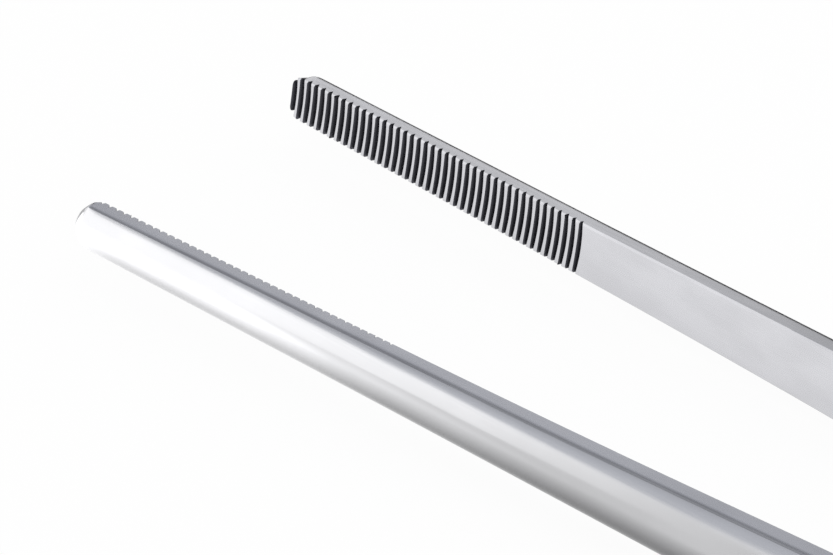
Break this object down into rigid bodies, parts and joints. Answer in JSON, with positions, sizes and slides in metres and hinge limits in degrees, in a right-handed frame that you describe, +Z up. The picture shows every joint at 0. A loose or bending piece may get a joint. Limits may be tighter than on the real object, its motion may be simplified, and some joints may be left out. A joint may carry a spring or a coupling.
{
  "type": "dressing forceps",
  "caption": "Long thumb forceps: two sprung steel arms with cross-serrated jaws, domed backs and ridged thumb grips, joined by a weld at the tail.",
  "frame": {"origin": "under the middle of the instrument, on the surface that it lies on: the middle of its length, the middle plane between the arms, and the height of the grip's lower sides", "axes": "+X runs from the tips to the tail, +Y runs across the opening from the near arm to the far arm, and +Z is up, with the instrument lying on its side"},
  "size_m": [0.3, 0.0426, 0.0116],
  "materials": {
    "satin_steel": "satin stainless steel, ground lengthwise, polished back",
    "weld_steel": "weld metal, ground flush with the tail"
  },
  "bodies": {
    "far_half": {"far_arm": "satin_steel", "tail_weld": "weld_steel"},
    "near_half": {"near_arm": "satin_steel"}
  },
  "joints": [
    {"name": "squeeze", "type": "hinge", "parent": "far_half", "child": "near_half", "pos_m": [0.139, 0, 0.0058], "axis": [0, 0, -1], "range_deg": [0, 7.05], "stiffness_Nm_per_rad": 6.5}
  ]
}
